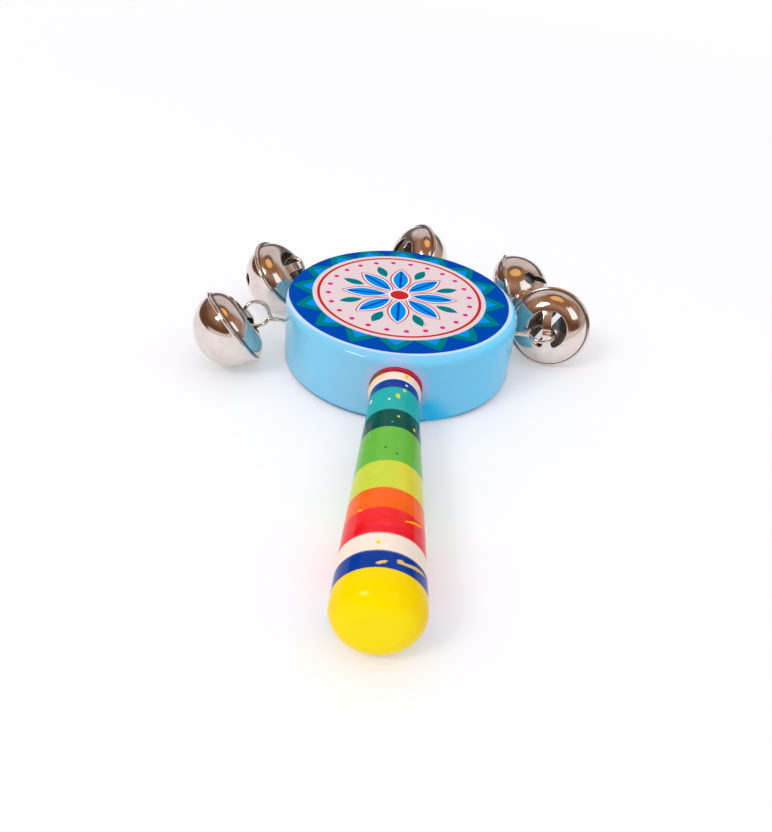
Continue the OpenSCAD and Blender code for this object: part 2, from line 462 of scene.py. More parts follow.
petal, off_vein = leaf_depth(off_print, from_spoke(angle, PETALS), PETALS, PETAL)
ink = petal.step(0, INK_EDGE).mix(PINK, RED)
ink = petal.step(WHITE_IN, INK_EDGE).mix(ink, WHITE)
ink = petal.step(BLUE_IN, INK_EDGE).mix(ink, BRIGHT)
vein = petal.step(VEIN_IN, INK_EDGE) * (1 - off_vein.step(VEIN_HALF_W, INK_EDGE))
ink = vein.mix(ink, ROYAL)
leaf, _ = leaf_depth(off_print, from_spoke(angle, PETALS, turn=0.5), PETALS, LEAF)
ink = leaf.step(0, INK_EDGE).mix(ink, TEAL)
ink = (1 - off_print.step(BUTTON_R, INK_EDGE)).mix(ink, WHITE)
ink = (1 - off_print.step(BUTTON_R - BUTTON_RIM, INK_EDGE)).mix(ink, RED)

dot_angle = from_spoke(angle, DOTS, turn=0.5) * (math.pi / DOTS)
dot_x = off_print * dot_angle.math("COSINE") - DOT_RING
dot_y = off_print * dot_angle.math("SINE")
dot = 1 - (dot_x * dot_x + dot_y * dot_y).math("SQRT").step(DOT_R, INK_EDGE)
ink = dot.mix(ink, MAGENTA)
ring = 1 - (off_print - RING_AT).math("ABSOLUTE").step(RING_W / 2, INK_EDGE)
ink = ring.mix(ink, RED)

outward = (off_print - BORDER_IN) / (BORDER_OUT - BORDER_IN)
off_point = from_spoke(angle, BORDER_POINTS).math("ABSOLUTE")
tooth = (1 - outward - off_point).step(0, POINT_EDGE)
small_tooth = (1 - outward * SMALL_POINTS - off_point * SMALL_POINTS).step(0, SMALL_POINT_EDGE)
border = small_tooth.mix(tooth.mix(ROYAL, TEAL), BRIGHT)
ink = off_print.step(BORDER_IN, INK_EDGE).mix(ink, border)

chip_x, chip_y = x - CHIP_AT[0], y - CHIP_AT[1]
chip = 1 - (chip_x * chip_x * CHIP_NARROW + chip_y * chip_y).math("SQRT").step(CHIP_HALF, CHIP_EDGE)
ink = chip.mix(ink, BARE_WOOD)
print("The print has", BORDER_POINTS, "border points,", DOTS, "dots and", PETALS, "petals")

# %% [markdown]
# Under the print, the disc is turned from solid wood, sprayed light blue and given a clear gloss. The blue
# is painted brighter towards the right, a painted light that evens out the lamp on the left, and darker
# along the lower edge, a painted shade where the disc meets the table. A strong blue right of the handle is
# the handle's painted shadow and painted reflection, and a pale line round the print is a painted highlight
# along the rim. Each of these is a mask with a soft edge, mixed in over the last.

# %% Blue spray, with painted light and shade
CLOUD_SHARE = 0.4
# Each pair is where a soft edge lies and how wide it is, in mm
LIT_TO_RIGHT = (4, 50)
SHADED_FOOT = (1.6, 1.2)
ON_FRONT = (HEAD_R / 2, 1.0)
HANDLE_SHADE_LEFT = (9.5, 2.0)
HANDLE_SHADE_RIGHT = (18.0, 7.0)
HANDLE_SHADE_TOP = (8.5, 5.0)
# The painted shadow's left and right edges lean to the left by these shares of their height
LEAN_LEFT = 0.35
LEAN_RIGHT = 0.75
HIGHLIGHT_LOW = (PRINT_LOW, 0.4)
HIGHLIGHT_IN = (PRINT_R - 0.4, 0.6)
HIGHLIGHT_OUT = (PRINT_R + 1.1, 0.8)
HIGHLIGHT_SHARE = 0.85

cloud = place.noise(0.06).step(0.5, 0.5)
# Random clouds of deeper blue, and a blue painted brighter towards the right: painted light that evens out
# the lamp on the left.
spray = (cloud * CLOUD_SHARE + x.step(*LIT_TO_RIGHT) * (1 - CLOUD_SHARE)).mix(SKY, SKY_DEEP_AND_LIT)
# Darker along the lower edge: a painted shade where the disc meets the table.
spray = z.step(*SHADED_FOOT).mix(SKY_SHADED_FOOT, spray)
on_front = (0 - y).step(*ON_FRONT)
# A strong blue right of and under the handle: the handle's painted shadow and painted reflection on the
# gloss.
handle_shade = (x + z * LEAN_LEFT).step(*HANDLE_SHADE_LEFT) * (1 - (x + z * LEAN_RIGHT).step(*HANDLE_SHADE_RIGHT)) * on_front
handle_shade = handle_shade * (1 - z.step(*HANDLE_SHADE_TOP))
spray = handle_shade.mix(spray, SKY_HANDLE_SHADE)
# A pale line round the print: a painted highlight where the rounded rim catches the light.
rim_highlight = z.step(*HIGHLIGHT_LOW) * off_print.step(*HIGHLIGHT_IN) * (1 - off_print.step(*HIGHLIGHT_OUT))
spray = (rim_highlight * HIGHLIGHT_SHARE).mix(spray, RIM_HIGHLIGHT)
print("The pool starts", HANDLE_SHADE_LEFT[0], "mm right of the handle's axis")

# %% [markdown]
# Red paint from the handle's neck laps onto the disc round the mouth of the bore. Its mask is the distance
# from the ring's middle, made ragged by noise. On its left the ring is brown, a painted shade in the gap
# beside the handle. A wider and softer mask pales the blue round it, a painted reflection in the gloss round
# the mouth.

# %% Red paint round the bore
NECK_R = 6.65
HEAD_AXIS = HEAD_H / 2
# The ring's middle lies a little right of the handle's axis and above it, and its edge is ragged
RIM_PAINT_RIGHT = 0.1
RIM_PAINT_UP = 1.25
RAGGED = 0.3
# Distances from that middle, and the place from which the brown painted shade turns to wine, with the width
# of each edge
RIM_PAINT = (7.4, 0.14)
REFLECTION_HALO = (9.4, 1.6)
REFLECTION_HALO_SHARE = 0.6
WINE_FROM = (-4.5, 3.0)

up = z - HEAD_AXIS - RIM_PAINT_UP
right = x - RIM_PAINT_RIGHT
off_bore = (right * right + up * up).math("SQRT") + place.noise(0.6) * RAGGED - RAGGED / 2
# A lavender halo round the ring: a painted reflection in the gloss round the mouth.
spray = (on_front * (1 - off_bore.step(*REFLECTION_HALO)) * REFLECTION_HALO_SHARE).mix(spray, LAVENDER_REFLECTION)
# Brown on the ring's left is a painted shade in the gap beside the handle; the right is wine red.
rim_colour = x.step(*WINE_FROM).mix(BROWN_SHADE, WINE)
spray = (on_front * (1 - off_bore.step(*RIM_PAINT))).mix(spray, rim_colour)
print("The red ring is", 2 * RIM_PAINT[0], "mm across, round a bore of", 2 * NECK_R, "mm")

# %% [markdown]
# The print has no gloss coat over it, so it shines less than the spray. The wood's grain still shows
# through both as long low ridges, and the spray adds the fine dimples that painters call orange peel.

# %% Gloss of the lacquer
printed = (1 - off_print.step(PRINT_R, 0.25)) * z.step(PRINT_LOW, 0.1)
along_grain = {"Vector": place, "Scale": (0.35, 3.0, 0.35)}
grain = place.node("ShaderNodeMapping", {}, along_grain).noise(1.0, 4.0)
peel = place.noise(1.3, 1.0)
feed(
    inputs,
    Base_Color=printed.mix(spray, ink),
    Roughness=0.26 + peel * 0.12 + printed * 0.08,
    Coat_Weight=0.8 - printed * 0.8,
    Bump=(peel * 0.6 + grain * 0.4, 0.12, 0.08),
)
print("The lacquer's material has", len(blue_lacquer.node_tree.nodes), "nodes")

# %% [markdown]
# The disc's rims are rounded by the turner, and the light runs along them as a soft white line. A
# turned outline gives that exactly. The handle's bore and the five pilot holes are then cut with
# Boolean modifiers, by shapes that start outside the wood.

# %% Disc with its bore and pilot holes
HEAD_EDGE_R = 2.0
FLAT_R = HEAD_R - HEAD_EDGE_R
MOUTH_ROUND = 1.1
PLUG_LEN = 18.0
GLUE_GAP = 0.05
THREAD_LEN = 8.0
THREAD_R = 0.75
PILOT_GAP = 0.03
# The cutters start this far outside the wood
CUT_PAST = 2


def cut_by(mesh, cutters):
    """The mesh with each of the cutters, a mesh and its place, taken out of it."""
    body = new_object("body", mesh)
    tools = []
    for cutter, cutter_place in cutters:
        tool = new_object("tool", cutter)
        tool.matrix_world = cutter_place
        cut = body.modifiers.new("cut", "BOOLEAN")
        cut.object = tool
        cut.solver = "EXACT"
        tools.append(tool)
    result = applied(body)
    for tool in tools:
        bpy.data.objects.remove(tool)
    return result


disc_outline = [(0, 0), (FLAT_R - 1, 0)]
disc_outline += arc((FLAT_R, HEAD_EDGE_R), HEAD_EDGE_R, -90, 0, 12)
disc_outline += arc((FLAT_R, HEAD_H - HEAD_EDGE_R), HEAD_EDGE_R, 0, 90, 12)
disc_outline += [(FLAT_R - 1, HEAD_H), (0, HEAD_H)]
disc = new_mesh("disc", *lathe(disc_outline, 256))

bore_end = PLUG_LEN + GLUE_GAP
bore_outline = [(0, -CUT_PAST), (NECK_R + MOUTH_ROUND, -CUT_PAST)]
bore_outline += arc((NECK_R + MOUTH_ROUND, MOUTH_ROUND), MOUTH_ROUND, 270, 180, 8)
bore_outline += [(NECK_R, bore_end), (0, bore_end)]
bore = new_mesh("bore", *lathe(bore_outline, 96))

pilot_r, pilot_end = THREAD_R + PILOT_GAP, THREAD_LEN + PILOT_GAP
pilot_outline = [(0, -CUT_PAST), (pilot_r, -CUT_PAST), (pilot_r, pilot_end), (0, pilot_end)]
pilot = new_mesh("pilot", *lathe(pilot_outline, 24))

into_head = Matrix.Translation((0, -HEAD_R, HEAD_AXIS)) @ turned(-90, "X")
cutters = [(bore, into_head)] + [(pilot, eye_frame(i) @ turned(-90, "Y")) for i in BELLS]
disc = cut_by(disc, cutters)
print("The cut disc has", len(disc.polygons), "faces")

# %% [markdown]
# A cut leaves long thin faces, which smear the shine on a glossy side. So every corner that still lies
# on the turned disc gets the disc's own normal: straight away from the nearest point of the disc's
# inner form, which is smaller than the disc by the round of its rims.

# %% Smooth light on the turned head
# A face whose own normal is close to the disc's is part of the disc, and not of a cut
CLOSE = 0.9


def set_normals(mesh, rule):
    """Gives each corner the normal that the rule knows for its point, or else leaves it as it is."""
    known = [corner.vector.copy() for corner in mesh.corner_normals]
    for face in mesh.polygons:
        for corner in face.loop_indices:
            point = mesh.vertices[mesh.loops[corner].vertex_index].co
            known[corner] = rule(point, face.normal) or known[corner]
    mesh.normals_split_custom_set(known)


def normal_on_head(point, flat):
    """The turned disc's own normal, or None where the face isn't part of it."""
    inset = point.xy * min(1, FLAT_R / max(point.xy.length, FLAT_R))
    height = min(max(point.z, HEAD_EDGE_R), HEAD_H - HEAD_EDGE_R)
    normal = (point - Vector((*inset, height))).normalized()
    return normal if normal.dot(flat) > CLOSE else None


disc.shade_smooth()
disc.set_sharp_from_angle(angle=math.radians(40))
set_normals(disc, normal_on_head)
finished("turned_head", disc, Matrix(), blue_lacquer, body="rattle", node="head")

# %% [markdown]
# The handle is turned to a taper, dipped yellow at its thick end, and banded on the lathe: a brush is
# held against the spinning wood, so each band runs true but its edge wavers by a hair. The bands are a
# colour ramp over the distance from the disc. A ramp holds at most 32 stops, which is enough for two
# stops at each edge, one on either side, so that the paint changes over a tenth of a millimetre.

# %% Bands and chips of the handle
HANDLE_LEN = 85.5
# Each band is where it ends, in mm from the disc, and its paint
BANDS = (
    (2.7, CREAM), (3.1, WHITE), (7.1, NAVY), (18.3, SEA), (26.2, FOREST), (40.5, GREEN), (50.8, LIME),
    (58.1, ORANGE), (63.9, SCARLET), (66.5, CRIMSON), (72.1, CREAM), (77.3, NAVY), (HANDLE_LEN, YELLOW),
)
BAND_EDGE = 0.12
CREAM_TO = BANDS[0][0]
LIME_FROM, LIME_TO = BANDS[5][0], BANDS[6][0]
YELLOW_FROM = BANDS[-2][0]
# Each chip is its distance from the disc, its angle from the top, half its length, half its width, its
# slant in mm of distance per mm of width, and its colour
CHIPS = (
    (1.3, 23, 0.8, 0.7, 0, YELLOW), (5.1, 25, 0.5, 0.4, 0, WHITE), (8.0, 20, 1.0, 0.5, -0.4, LIME),
    (11.6, 6, 1.2, 0.6, 0.3, LEMON), (11.3, 15, 0.5, 0.35, 0, SEA), (13.4, -12, 0.5, 0.3, 0, WHITE),
    (10.4, -62, 0.9, 0.6, 0, WHITE), (21.3, 9, 0.45, 0.45, 0, LIME), (24.1, -2, 0.4, 0.35, 0, SEA),
    (23.7, 45, 0.7, 0.45, 0, LEMON), (60.0, 42, 0.42, 3.0, -0.44, GOLD), (69.7, -8, 0.55, 0.45, 0, YELLOW),
    (57.8, -39, 0.35, 0.8, 0.2, GOLD), (75.7, -2, 0.5, 1.2, -0.3, SAND), (74.5, 20, 0.6, 0.9, -0.1, SAND),
    (74.2, 40, 0.5, 4.2, -0.22, SAND), (35.3, -10, 0.35, 0.3, 0, FOREST), (37.5, 9, 0.35, 0.3, 0, FOREST),
)
print("The paint runs from the disc to", BANDS[-1][0], "mm, over", len(BANDS), "bands")

# %% [markdown]
# The ramp reads the distance from the disc with a little noise added, so that each edge wavers. The
# angle round the handle and the distance from its axis are worked out here too, for the chips.

# %% Bands of paint
# How far a band's edge wavers, in mm, in long waves and in short ones
LONG_WAVER = 0.5
SHORT_WAVER = 0.16

striped_paint, inputs, place = new_finish(
    "striped_paint", Coat_Roughness=0.05, Coat_IOR=1.2, Specular_IOR_Level=0.0
)
x, y, z = place.split()
waver = place.noise(0.12) * LONG_WAVER + place.noise(0.9) * SHORT_WAVER - (LONG_WAVER + SHORT_WAVER) / 2
along = 0 - y - HEAD_R
across = z - HEAD_AXIS
turn_angle = x.math("ARCTAN2", across)
radius = (x * x + across * across).math("SQRT")

stops, last_end = [], 0.0
for number, (end, colour) in enumerate(BANDS):
    if number:
        stops.append(((last_end + BAND_EDGE / 2) / HANDLE_LEN, colour))
    if end < HANDLE_LEN:
        stops.append(((end - BAND_EDGE / 2) / HANDLE_LEN, colour))
    last_end = end
paint = along.node("ShaderNodeValToRGB", {"stops": stops}, {0: (along + waver) / HANDLE_LEN})
print("The ramp has", len(stops), "stops")

# %% [markdown]
# A brush leaves more paint in one place than in another. So the cream is warmer on its left, the lime turns
# lemon on its right and the enamel is thinner and lighter in patches. Over the end the yellow is painted
# brighter, a painted light for the end face, which gets less light from overhead.

# %% Thin paint, and painted light on the yellow end
BAND_SOFT = 0.2
THIN_SHARE = 0.35
LIT_END_SHARE = 0.8
# Each pair is where a soft edge lies and how wide it is, in mm
PEACH_DOWN_TO = (CREAM_TO - 0.6, 0.8)
PEACH_TO = (-2.8, 3.0)
LEMON_FROM = (1.5, 4.0)
LIT_END_FROM = (HANDLE_LEN - 1.6, 3.6)

in_cream = 1 - along.step(*PEACH_DOWN_TO)
paint = (in_cream * (1 - x.step(*PEACH_TO))).mix(paint, PEACH)
in_lime = along.step(LIME_FROM, BAND_SOFT) * (1 - along.step(LIME_TO, BAND_SOFT))
paint = (in_lime * x.step(*LEMON_FROM)).mix(paint, LEMON)
lighter = paint.node("ShaderNodeHueSaturation", {}, {"Saturation": 0.92, "Value": 1.1, "Color": paint})
thin = place.noise(0.22, 3.0).step(0.56, 0.5) * (1 - along.step(YELLOW_FROM, BAND_SOFT))
paint = (thin * THIN_SHARE).mix(paint, lighter)
# A brighter yellow over the end: painted light for the end face, which gets less light from overhead.
paint = (along.step(*LIT_END_FROM) * LIT_END_SHARE).mix(paint, YELLOW_LIT_END)
print("The yellow end starts", YELLOW_FROM, "mm from the disc")

# %% [markdown]
# Use has knocked small chips out of the enamel. Each is an oval mask that wraps round the handle, with
# a ragged edge, in the colour that shows there. A chip is also duller than the enamel, and a little
# lower. Rings left by the lathe and soft drips of paint make the light waver on the rest.

# %% Chips and gloss
# The edge's place and width, and how ragged it is, as shares of a chip's half size
CHIP_SOFT = (0.95, 0.25)
CHIP_RAGGED = 0.9

rough_edge = place.noise(2.6) * CHIP_RAGGED - CHIP_RAGGED / 2
chipped = None
for chip_at, degrees, half_length, half_width, slant, colour in CHIPS:
    aside = (turn_angle - math.radians(degrees)) * radius
    u = (along - chip_at - aside * slant) / half_length
    v = aside / half_width
    chip = 1 - ((u * u + v * v).math("SQRT") + rough_edge).step(*CHIP_SOFT)
    paint = chip.mix(paint, colour)
    chipped = chip if chipped is None else chipped.math("MAXIMUM", chip)
rings = (along * 2.2 + place.noise(0.3) * 3.0).math("SINE")
drip = place.noise(0.35, 3.0)
feed(
    inputs,
    Base_Color=paint,
    Roughness=0.2 + chipped * 0.3 + drip * 0.1,
    Coat_Weight=0.9 - chipped * 0.7,
    Bump=(rings * 0.12 + drip * 0.6 - chipped * 0.5, 0.25, 0.1),
)
print("The handle has", len(CHIPS), "chips")

# %% [markdown]
# The handle's outline is a straight plug that is glued into the disc, a small collar that flares out of
# the bore's mouth, a long taper and a large round at the end. The taper needs few points. The collar is
# two bends, and the round has sixteen steps, because its outline shows against the floor.

# %% Painted handle
END_R = 10.4
HANDLE_ROUND_R = 6.0
MOUTH_BEVEL = 0.7
NECK_FLARE = 0.85
FLARE_LEN = 2.4
PLUG_R = NECK_R - GLUE_GAP
PLUG_CHAMFER = 0.6
TAPER_END = HANDLE_LEN - HANDLE_ROUND_R
COLLAR_R = PLUG_R + NECK_FLARE
COLLAR_AT = GLUE_GAP + NECK_FLARE - MOUTH_BEVEL
# Where the collar's two bends meet, the corner of the second one and where it runs into the taper
COLLAR_CREST = (COLLAR_R - 0.13, COLLAR_AT + 0.5)
COLLAR_WAIST = (COLLAR_R - 0.45, 1.6)
COLLAR_END = 2.6
TAPER_STEPS = 24
END_INSET = 0.4


def taper(distance):
    """The radius of the handle's straight taper at a distance from the disc."""
    return PLUG_R + (END_R - PLUG_R) * distance / TAPER_END


handle_outline = [(0, -PLUG_LEN), (PLUG_R - PLUG_CHAMFER, -PLUG_LEN), (PLUG_R, PLUG_CHAMFER - PLUG_LEN)]
handle_outline += bend((PLUG_R, GLUE_GAP - MOUTH_BEVEL), (COLLAR_R, COLLAR_AT), COLLAR_CREST, 7)
handle_outline += bend(COLLAR_CREST, COLLAR_WAIST, (taper(COLLAR_END), COLLAR_END), 6)[1:]
for k in range(TAPER_STEPS + 1):
    distance = MOUTH_BEVEL + FLARE_LEN + (TAPER_END - MOUTH_BEVEL - FLARE_LEN) * k / TAPER_STEPS
    handle_outline.append((taper(distance), distance))
handle_outline += arc((END_R - HANDLE_ROUND_R, TAPER_END), HANDLE_ROUND_R, 0, 90, 16)[1:]
handle_outline += [(END_R - HANDLE_ROUND_R - END_INSET, HANDLE_LEN), (0, HANDLE_LEN)]
shaft = new_mesh("shaft", *lathe(handle_outline, 128))
out_of_head = Matrix.Translation((0, -HEAD_R, HEAD_AXIS)) @ turned(90, "X")
finished(
    "painted_handle", shaft, out_of_head, striped_paint,
    body="rattle", node="handle",
)

# %% [markdown]
# Nickel plate on the bells and bright drawn wire on the eyes are the same kind of finish: a metal that
# mirrors the room. What tells them from a perfect mirror is the pressing. The thin sheet is never quite
# true, so reflections bend, and the plate is a touch duller in patches and in hairline marks. Inside a bell
# the plate is painted dark, a painted shade, and darker still in the groove beside its rolled seam, and both
# places are rougher. Those places follow the mesh, not the space round it, so they are written into an
# attribute of the points, which the material reads. The loose balls are plain steel shot.

# %% Nickel, wire and shot
# How dark the painted shade is inside a bell and in the groove by its seam, and the dark colour it mixes in
INSIDE_SHADE = 0.42
GROOVE_SHADE = 0.85
SHADED_PLATE = rgb(96, 86, 78)
DULL_ROUGHNESS = 0.3


def mark_shade_and_dull(mesh, rule):
    """Writes down for each point how much painted shade and roughness its plating gets, from 0 to 1, as the
    rule says.
    """
    marks = mesh.attributes.new("dull", "FLOAT", "POINT")
    for vertex, mark in zip(mesh.vertices, marks.data):
        mark.value = rule(vertex.co)


def new_metal(name, colour, dull_colour, least_roughness, marks, wave):
    """A metal with duller patches and hairlines. They add marks to its roughness, and its face waves."""
    material, inputs, place = new_finish(name, Metallic=1.0)
    patches = place.noise(0.35, 3.0)
    drawn_out = {"Vector": place, "Rotation": (0.4, 0.9, 0.2), "Scale": (9, 0.6, 0.9)}
    hairlines = place.node("ShaderNodeMapping", {}, drawn_out).noise(1.0, 4.0).step(0.66, 0.08)
    dull = place.node("ShaderNodeAttribute", {"attribute_name": "dull"}, out=2)
    feed(
        inputs,
        # The attribute mixes in a painted shade inside a bell and in the groove by its seam
        Base_Color=dull.mix(patches.step(0.55, 0.4).mix(colour, dull_colour), SHADED_PLATE),
        Roughness=least_roughness + patches * marks + hairlines * marks + dull * DULL_ROUGHNESS,
        Bump=(place.noise(0.16, 1.0), wave, 0.5),
    )
    return material


nickel = new_metal(
    "nickel", rgb(232, 222, 216), rgb(222, 210, 203), least_roughness=0.03, marks=0.1, wave=0.25
)
bright_wire = new_metal(
    "bright_wire", rgb(228, 222, 214), rgb(206, 196, 186), least_roughness=0.08, marks=0.16, wave=0.1
)
steel_ball = new_metal(
    "steel_ball", rgb(190, 190, 192), rgb(140, 138, 136), least_roughness=0.22, marks=0.3, wave=0.1
)
for i in BELLS:
    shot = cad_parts[f"pellet_{i + 1}"]
    shot.data.materials.clear()
    shot.data.materials.append(steel_ball)
print("Metals:", nickel.name, bright_wire.name, steel_ball.name)

# %% [markdown]
# A screw eye is one length of wire. It has a rolled thread at one end, then a straight neck, a quick
# bend and a ring that stops just short of closing. Its shape follows a path, so Geometry Nodes suit it:
# a line, a bend and an arc are strung into one curve, a round section is swept along it, and the part
# that stands in the wood is squeezed into a thread by a rule on its angle and depth. The tree has a
# named input for each size, so that one tree makes all five eyes, whose necks differ.

# %% Sizes of a screw eye
WIRE_R = 0.55
THREAD_DEPTH = 0.28
THREAD_PITCH = THREAD_LEN / 8
# The share of its radius that the thread has left at its tip
THREAD_TIP = 0.08
BEND_ANGLE = math.radians(15)
RING_SWEEP = math.radians(344)
# Each straight part stops this short of the next, so that no two points of the path meet, and the ring
# starts this many radians after the bend
STEP = 0.2
RING_START = 0.05
# Points along each part of the wire, and round it
SHANK_POINTS = 120
NECK_POINTS = 8
TURN_POINTS = 10
RING_POINTS = 96
WIRE_SIDES = 20
print("The wire is", 2 * WIRE_R, "mm thick, and its thread climbs", THREAD_PITCH, "mm in a turn")

# %% [markdown]
# The two harder parts of the tree get a function each. The first strings the middle of the wire
# together. The second turns the wire in the wood into a thread: going round it and along it, the radius
# rises and falls in a zigzag that climbs one pitch in each turn.

# %% Path and thread of the wire
def strung_wire(reach, ring, bend_by, sweep, length):
    """The middle of the wire as one curve: the shank in the wood, the neck, the bend and the ring."""
    def at(x, z=0.0):
        return reach.node("ShaderNodeCombineXYZ", {}, {"X": x, "Z": z})

    def line(start, end, points):
        made = reach.node("GeometryNodeCurvePrimitiveLine", {}, {"Start": at(start), "End": at(end)})
        return made.node("GeometryNodeResampleCurve", {}, {"Curve": made, "Count": points})

    corner = reach - ring / bend_by.math("COSINE")
    lead = ring * bend_by.math("TANGENT")
    ring_x = reach - ring * bend_by.math("COSINE")
    ring_z = 0 - ring * bend_by.math("SINE")
    shank = line(0 - length, -STEP, SHANK_POINTS)
    neck = line(0.0, corner - lead - STEP, NECK_POINTS)
    turn_points = {"Start": at(corner - lead), "Middle": at(corner), "End": at(ring_x, ring_z)}
    turn = reach.node("GeometryNodeCurveQuadraticBezier", {}, {"Resolution": TURN_POINTS, **turn_points})
    span = {"Start Angle": bend_by - math.pi + RING_START, "Sweep Angle": sweep - bend_by - RING_START}
    loop = reach.node(
        "GeometryNodeCurveArc", {"mode": "RADIUS"}, {"Resolution": RING_POINTS, "Radius": ring, **span}
    )
    stood_up = {"Geometry": loop, "Translation": at(reach), "Rotation": (math.pi / 2, 0, 0)}
    loop = loop.node("GeometryNodeTransform", {}, stood_up)
    strung = shank.node("GeometryNodeJoinGeometry")
    for part in (shank, neck, turn, loop):
        part.socket.id_data.links.new(part.socket, strung.socket.node.inputs[0])
    points = strung.node("GeometryNodeCurveToPoints", {"mode": "EVALUATED"}, {"Curve": strung})
    return points.node("GeometryNodePointsToCurves", {}, {"Points": points})


def threaded(wire, length, thread, depth, pitch):
    """Where each point of the swept wire goes. In the wood it is squeezed into a thread with a thin tip."""
    x, y, z = wire.node("GeometryNodeInputPosition").split()
    phase = (z.math("ARCTAN2", y) / (2 * math.pi) - x / pitch).math("FRACT")
    ridge = 1 - (phase * 2.0 - 1.0).math("ABSOLUTE")
    tip = ((x + length) / (pitch * 2.0)).math("MINIMUM", 1.0).math("MAXIMUM", THREAD_TIP)
    cut_radius = (thread - depth + depth * ridge) * tip
    in_wood = (0 - x).math("MAXIMUM", 0.0).math("MINIMUM", 1.0)
    squeeze = 1 + in_wood * (cut_radius / wire - 1.0)
    return x.node("ShaderNodeCombineXYZ", {}, {"X": x, "Y": y * squeeze, "Z": z * squeeze})


print("The shank has", SHANK_POINTS, "points along its", THREAD_LEN, "mm of thread")

# %% [markdown]
# The tree sweeps a round section along the path, moves its points into the thread, and ends with the
# two nodes that make its result a plain mesh with a finish of its own.

# %% Tree of the screw eye
def screw_eye_tree():
    """The whole eye, with an input for each size and one for its finish."""
    tree = bpy.data.node_groups.new("screw eye", "GeometryNodeTree")
    sizes = {
        "Reach": EYE_NECK + RING_R, "Ring radius": RING_R, "Wire radius": WIRE_R, "Bend angle": BEND_ANGLE,
        "Ring sweep": RING_SWEEP, "Thread length": THREAD_LEN, "Thread radius": THREAD_R,
        "Thread depth": THREAD_DEPTH, "Thread pitch": THREAD_PITCH,
    }
    for label, size in sizes.items():
        tree.interface.new_socket(label, in_out="INPUT", socket_type="NodeSocketFloat").default_value = size
    tree.interface.new_socket("Finish", in_out="INPUT", socket_type="NodeSocketMaterial")
    tree.interface.new_socket("Eye", in_out="OUTPUT", socket_type="NodeSocketGeometry")
    given = tree.nodes.new("NodeGroupInput")
    reach, ring, wire, bend_by, sweep, length, thread, depth, pitch = [
        Wire(given.outputs[label]) for label in sizes
    ]
    path = strung_wire(reach, ring, bend_by, sweep, length)
    section = path.node("GeometryNodeCurvePrimitiveCircle", {}, {"Resolution": WIRE_SIDES, "Radius": wire})
    along_path = {"Curve": path, "Profile Curve": section, "Fill Caps": True}
    eye = path.node("GeometryNodeCurveToMesh", {}, along_path)
    places = threaded(wire, length, thread, depth, pitch)
    eye = eye.node("GeometryNodeSetPosition", {}, {"Geometry": eye, "Position": places})
    eye = eye.node("GeometryNodeRealizeInstances", {}, {"Geometry": eye})
    finish = Wire(given.outputs["Finish"])
    eye = eye.node("GeometryNodeSetMaterial", {}, {"Geometry": eye, "Material": finish})
    tree.links.new(eye.socket, tree.nodes.new("NodeGroupOutput").inputs[0])
    return tree


eye_tree = screw_eye_tree()
print("The screw eye's tree has", len(eye_tree.nodes), "nodes")

# %% [markdown]
# Each eye is an empty mesh with that tree as its modifier. The modifier's inputs are set by the
# sockets' identifiers before the mesh is first worked out, and the result is kept as a plain mesh.

# %% Five screw eyes
for i in BELLS:
    eye = new_object("eye", bpy.data.meshes.new("eye"))
    nodes = eye.modifiers.new("screw eye", "NODES")
    nodes.node_group = eye_tree
    own = {"Reach": eye_reach(i), "Finish": bright_wire}
    for item in eye_tree.interface.items_tree:
        if item.in_out == "INPUT":
            nodes[item.identifier] = own.get(item.name, getattr(item, "default_value", None))
    wire_mesh = applied(eye)
    wire_mesh.shade_smooth()
    wire_mesh.set_sharp_from_angle(angle=math.radians(60))
    finished(
        f"eye_{i + 1}", wire_mesh, eye_frame(i), bright_wire,
        body="rattle", node=f"screw_eye_{i + 1}",
    )

# %% [markdown]
# A bell is pressed from two cups of thin sheet. The shallow one, the crown, has a round hole with a
# strap left standing across it, and its edge is rolled round the flange of the deep one, which closes
# the bell for good. The crown is drawn as the middle of its sheet, and its profile is turned first: a
# lip, the roll round the flange, a fillet and the dome.

# %% Profile of the crown
SEAM_R = 12.65
BOWL_R = 11.9
ROLL_R = 0.6
CROWN_H = 5.18
HOLE_R = 6.0
CROWN_T = 0.44
CROWN_ARC_R = BOWL_R * 0.545
CROWN_ARC_AT = (BOWL_R * 0.4695, CROWN_H - CROWN_ARC_R)
# The middle of the dome's sheet, the angle at which the dome ends below, and the fillet that follows
DOME_R = CROWN_ARC_R - CROWN_T / 2
DOME_FOOT = 20
FILLET = 0.25
# The lip that grips the bowl ends, at the middle of its sheet, this far outside the bowl's side
LIP_GAP = 0.04


def crown_profile():
    """The middle of the sheet, from the lip under the seam up to the rim of the hole."""
    layer = ROLL_R - CROWN_T / 2
    hole_angle = math.degrees(math.acos((HOLE_R - CROWN_ARC_AT[0]) / DOME_R))
    dome = arc(CROWN_ARC_AT, DOME_R, DOME_FOOT, hole_angle, 22)
    foot = dome[0]
    corner = (foot[0] + (foot[1] - layer) * math.tan(math.radians(DOME_FOOT)), layer)
    fillet = bend((corner[0] + FILLET, layer), corner, foot, 5)[:-1]
    roll = arc((SEAM_R - ROLL_R, 0), layer, -90, 90, 10)
    return [(BOWL_R + LIP_GAP, -layer)] + roll + fillet + dome


print("The crown's profile has", len(crown_profile()), "points")

# %% [markdown]
# The strap is a grid of points that rises from one side of the hole to the other. Its first and last
# rows are points of the hole's rim, so that strap and dome are one sheet, and it flares where it meets
# them.

# %% Sheet of the crown, with its strap
CROWN_STEPS = 128
FOOT_COLUMNS = 7
STRAP_ROWS = 36
STRAP_W = 2.6
STRAP_FLARE = 1.7
STRAP_ROUND = 1.25


